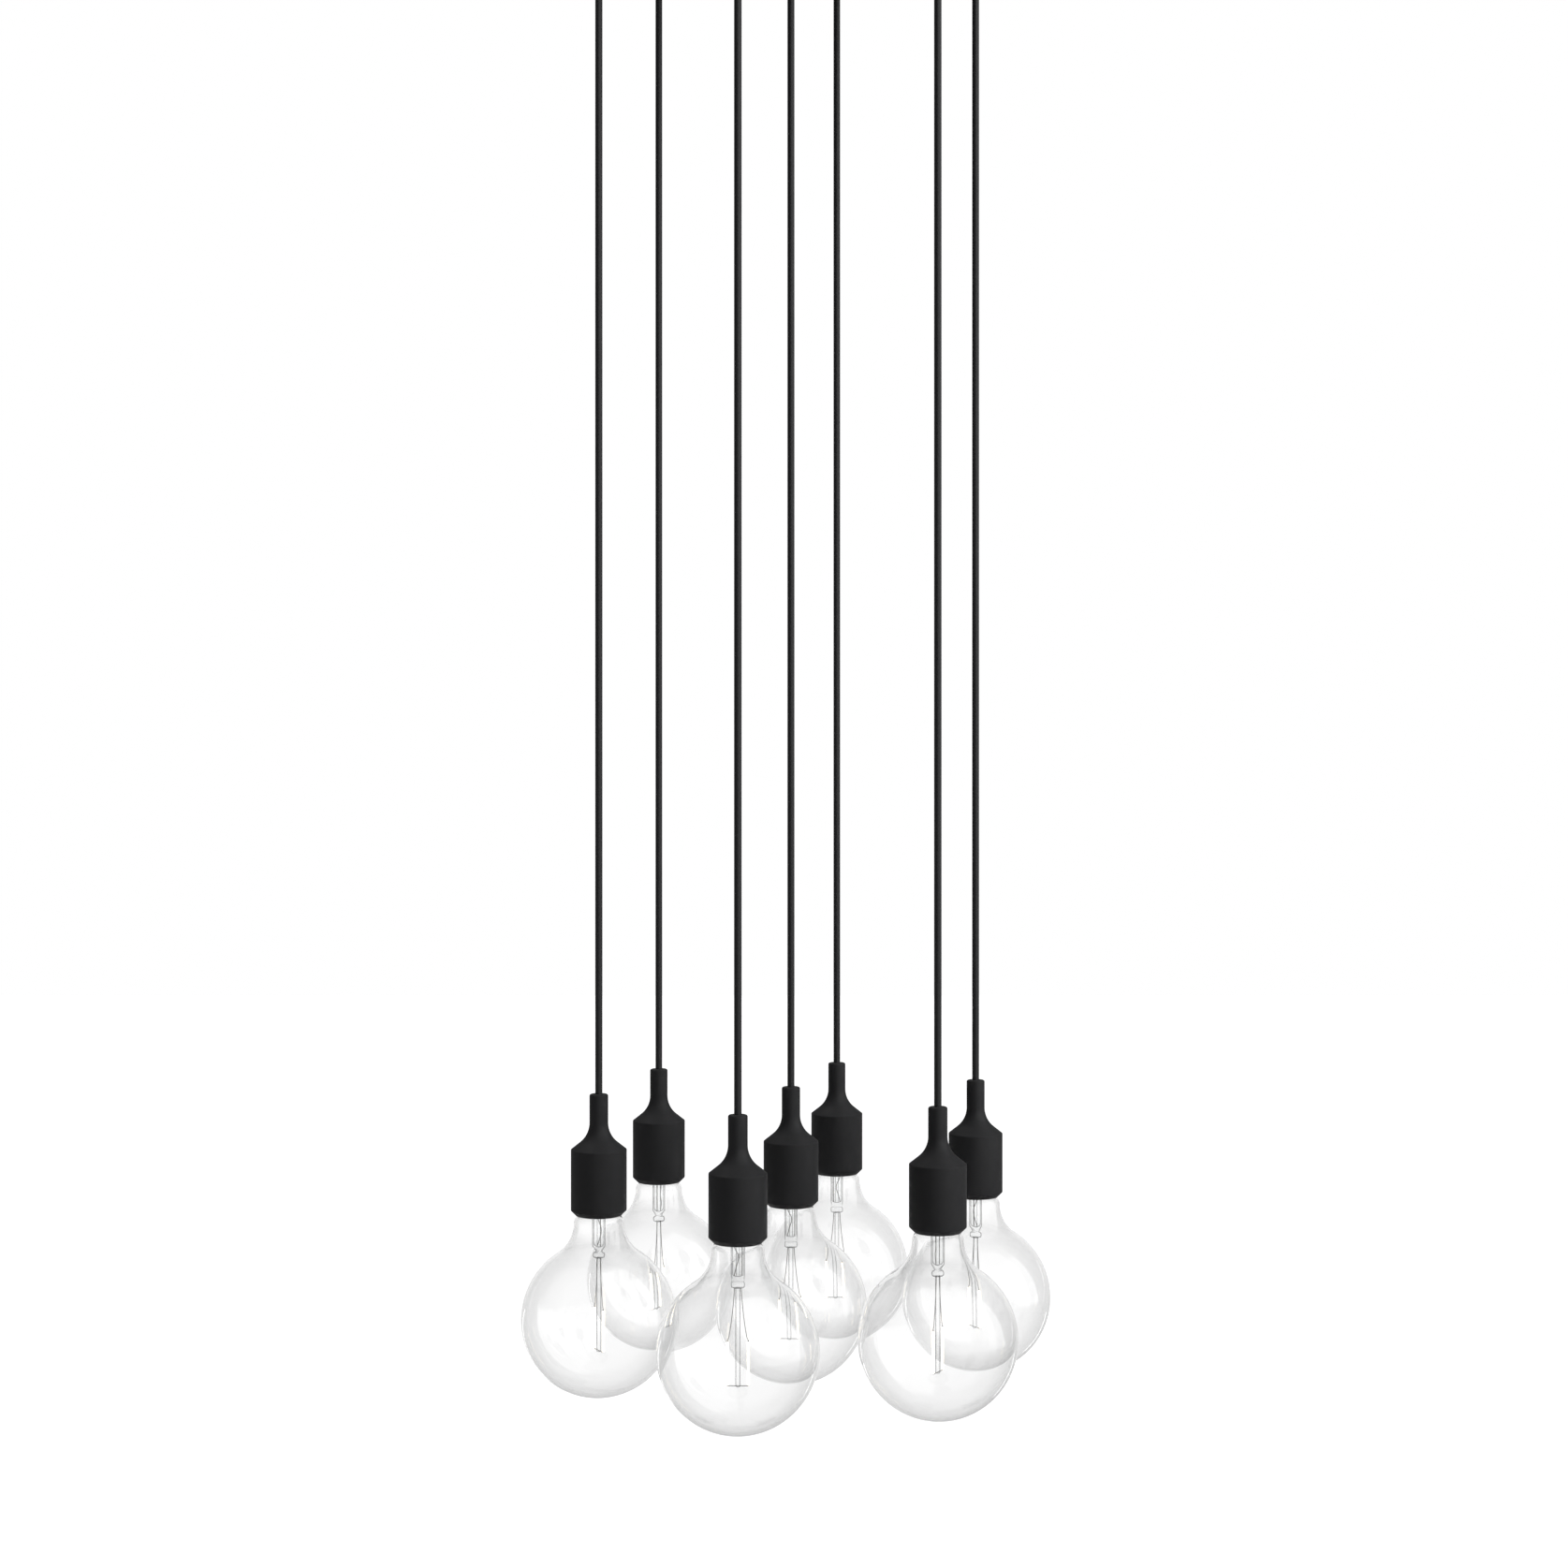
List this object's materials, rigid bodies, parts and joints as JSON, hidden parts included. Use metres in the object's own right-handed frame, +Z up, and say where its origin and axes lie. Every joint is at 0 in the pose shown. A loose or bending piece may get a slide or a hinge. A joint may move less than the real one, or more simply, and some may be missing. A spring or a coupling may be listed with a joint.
{
  "type": "cluster pendant light",
  "caption": "Cluster pendant with a round ceiling canopy, straight black cords, soft black socket covers and clear globe bulbs hung level in a ring round a middle one.",
  "frame": {"origin": "middle of the ceiling plane, at the canopy's axis and the back of its bracket", "axes": "+Z up, the lamp hangs along -Z; seen from -Y, +X is to the right, with the ceiling slots in a line along X"},
  "size_m": [0.4346, 0.4354, 1.2883],
  "materials": {
    "painted_steel": "matt black powder coat",
    "zinc_steel": "zinc plated",
    "black_plastic": "matt moulded",
    "black_nylon": "moulded nylon",
    "white_plastic": "moulded",
    "brass": "machined",
    "black_cord": "smooth flexible sheath",
    "brown_cores": "insulated core",
    "green_wire": "insulated core with plated tags",
    "cover_rubber": "soft matt moulding",
    "holder_plastic": "heat resistant moulding with a ceramic plate",
    "copper_alloy": "pressed sheet",
    "cap_metal": "nickel plated, with a black glass insulator",
    "clear_glass": "clear, polished",
    "stem_glass": "clear glass stem, metal leads and filaments"
  },
  "bodies": {
    "canopy": {"canopy_shell": "painted_steel", "ceiling_bracket": "zinc_steel", "fixing_screws": "zinc_steel", "cord_grips": "black_plastic", "grip_locknuts": "black_nylon", "grip_clamp_screws": "zinc_steel", "terminal_block": "white_plastic", "terminal_clamps": "brass", "cord_tails": "black_cord", "cord_cores": "brown_cores", "earth_lead": "green_wire"},
    "pendant_1": {"cord_1": "black_cord", "socket_cover_1": "cover_rubber", "lampholder_1": "holder_plastic", "holder_contacts_1": "copper_alloy"},
    "bulb_travel_1": {"bulb_glass_1": "clear_glass"},
    "bulb_turn_1": {"bulb_cap_1": "cap_metal", "bulb_mount_1": "stem_glass"},
    "pendant_2": {"cord_2": "black_cord", "socket_cover_2": "cover_rubber", "lampholder_2": "holder_plastic", "holder_contacts_2": "copper_alloy"},
    "bulb_travel_2": {"bulb_glass_2": "clear_glass"},
    "bulb_turn_2": {"bulb_cap_2": "cap_metal", "bulb_mount_2": "stem_glass"},
    "pendant_3": {"cord_3": "black_cord", "socket_cover_3": "cover_rubber", "lampholder_3": "holder_plastic", "holder_contacts_3": "copper_alloy"},
    "bulb_travel_3": {"bulb_glass_3": "clear_glass"},
    "bulb_turn_3": {"bulb_cap_3": "cap_metal", "bulb_mount_3": "stem_glass"},
    "pendant_4": {"cord_4": "black_cord", "socket_cover_4": "cover_rubber", "lampholder_4": "holder_plastic", "holder_contacts_4": "copper_alloy"},
    "bulb_travel_4": {"bulb_glass_4": "clear_glass"},
    "bulb_turn_4": {"bulb_cap_4": "cap_metal", "bulb_mount_4": "stem_glass"},
    "pendant_5": {"cord_5": "black_cord", "socket_cover_5": "cover_rubber", "lampholder_5": "holder_plastic", "holder_contacts_5": "copper_alloy"},
    "bulb_travel_5": {"bulb_glass_5": "clear_glass"},
    "bulb_turn_5": {"bulb_cap_5": "cap_metal", "bulb_mount_5": "stem_glass"},
    "pendant_6": {"cord_6": "black_cord", "socket_cover_6": "cover_rubber", "lampholder_6": "holder_plastic", "holder_contacts_6": "copper_alloy"},
    "bulb_travel_6": {"bulb_glass_6": "clear_glass"},
    "bulb_turn_6": {"bulb_cap_6": "cap_metal", "bulb_mount_6": "stem_glass"},
    "pendant_7": {"cord_7": "black_cord", "socket_cover_7": "cover_rubber", "lampholder_7": "holder_plastic", "holder_contacts_7": "copper_alloy"},
    "bulb_travel_7": {"bulb_glass_7": "clear_glass"},
    "bulb_turn_7": {"bulb_cap_7": "cap_metal", "bulb_mount_7": "stem_glass"}
  },
  "joints": [
    {"name": "swing_1", "type": "hinge", "parent": "canopy", "child": "pendant_1", "pos_m": [0, 0, -0.0585], "axis": [0, 1, 0], "range_deg": [-0.8, 0.8]},
    {"name": "bulb_travel_1", "type": "slide", "parent": "pendant_1", "child": "bulb_travel_1", "axis": [0, 0, -1], "range_m": [0, 0.0254]},
    {"name": "bulb_unscrew_1", "type": "hinge", "parent": "bulb_travel_1", "child": "bulb_turn_1", "pos_m": [0, 0, -1.1133], "axis": [0, 0, -1], "range_deg": [0, 2520]},
    {"name": "swing_2", "type": "hinge", "parent": "canopy", "child": "pendant_2", "pos_m": [0.15485, 0.04222, -0.0585], "axis": [0.263, -0.9648, 0], "range_deg": [-0.8, 25]},
    {"name": "bulb_travel_2", "type": "slide", "parent": "pendant_2", "child": "bulb_travel_2", "axis": [0, 0, -1], "range_m": [0, 0.0254]},
    {"name": "bulb_unscrew_2", "type": "hinge", "parent": "bulb_travel_2", "child": "bulb_turn_2", "pos_m": [0.15485, 0.04222, -1.1133], "axis": [0, 0, -1], "range_deg": [0, 2520]},
    {"name": "swing_3", "type": "hinge", "parent": "canopy", "child": "pendant_3", "pos_m": [0.04086, 0.15521, -0.0585], "axis": [0.967, -0.2546, 0], "range_deg": [-0.8, 25]},
    {"name": "bulb_travel_3", "type": "slide", "parent": "pendant_3", "child": "bulb_travel_3", "axis": [0, 0, -1], "range_m": [0, 0.0254]},
    {"name": "bulb_unscrew_3", "type": "hinge", "parent": "bulb_travel_3", "child": "bulb_turn_3", "pos_m": [0.04086, 0.15521, -1.1133], "axis": [0, 0, -1], "range_deg": [0, 2520]},
    {"name": "swing_4", "type": "hinge", "parent": "canopy", "child": "pendant_4", "pos_m": [-0.11398, 0.11299, -0.0585], "axis": [0.704, 0.7102, 0], "range_deg": [-0.8, 25]},
    {"name": "bulb_travel_4", "type": "slide", "parent": "pendant_4", "child": "bulb_travel_4", "axis": [0, 0, -1], "range_m": [0, 0.0254]},
    {"name": "bulb_unscrew_4", "type": "hinge", "parent": "bulb_travel_4", "child": "bulb_turn_4", "pos_m": [-0.11398, 0.11299, -1.1133], "axis": [0, 0, -1], "range_deg": [0, 2520]},
    {"name": "swing_5", "type": "hinge", "parent": "canopy", "child": "pendant_5", "pos_m": [-0.15485, -0.04222, -0.0585], "axis": [-0.263, 0.9648, 0], "range_deg": [-0.8, 25]},
    {"name": "bulb_travel_5", "type": "slide", "parent": "pendant_5", "child": "bulb_travel_5", "axis": [0, 0, -1], "range_m": [0, 0.0254]},
    {"name": "bulb_unscrew_5", "type": "hinge", "parent": "bulb_travel_5", "child": "bulb_turn_5", "pos_m": [-0.15485, -0.04222, -1.1133], "axis": [0, 0, -1], "range_deg": [0, 2520]},
    {"name": "swing_6", "type": "hinge", "parent": "canopy", "child": "pendant_6", "pos_m": [-0.04086, -0.15521, -0.0585], "axis": [-0.967, 0.2546, 0], "range_deg": [-0.8, 25]},
    {"name": "bulb_travel_6", "type": "slide", "parent": "pendant_6", "child": "bulb_travel_6", "axis": [0, 0, -1], "range_m": [0, 0.0254]},
    {"name": "bulb_unscrew_6", "type": "hinge", "parent": "bulb_travel_6", "child": "bulb_turn_6", "pos_m": [-0.04086, -0.15521, -1.1133], "axis": [0, 0, -1], "range_deg": [0, 2520]},
    {"name": "swing_7", "type": "hinge", "parent": "canopy", "child": "pendant_7", "pos_m": [0.11398, -0.11299, -0.0585], "axis": [-0.704, -0.7102, 0], "range_deg": [-0.8, 25]},
    {"name": "bulb_travel_7", "type": "slide", "parent": "pendant_7", "child": "bulb_travel_7", "axis": [0, 0, -1], "range_m": [0, 0.0254]},
    {"name": "bulb_unscrew_7", "type": "hinge", "parent": "bulb_travel_7", "child": "bulb_turn_7", "pos_m": [0.11398, -0.11299, -1.1133], "axis": [0, 0, -1], "range_deg": [0, 2520]}
  ],
  "couplings": [
    {"joint": "bulb_unscrew_1", "follows": "bulb_travel_1", "rad_per_m": 1731.4},
    {"joint": "bulb_unscrew_2", "follows": "bulb_travel_2", "rad_per_m": 1731.4},
    {"joint": "bulb_unscrew_3", "follows": "bulb_travel_3", "rad_per_m": 1731.4},
    {"joint": "bulb_unscrew_4", "follows": "bulb_travel_4", "rad_per_m": 1731.4},
    {"joint": "bulb_unscrew_5", "follows": "bulb_travel_5", "rad_per_m": 1731.4},
    {"joint": "bulb_unscrew_6", "follows": "bulb_travel_6", "rad_per_m": 1731.4},
    {"joint": "bulb_unscrew_7", "follows": "bulb_travel_7", "rad_per_m": 1731.4}
  ]
}
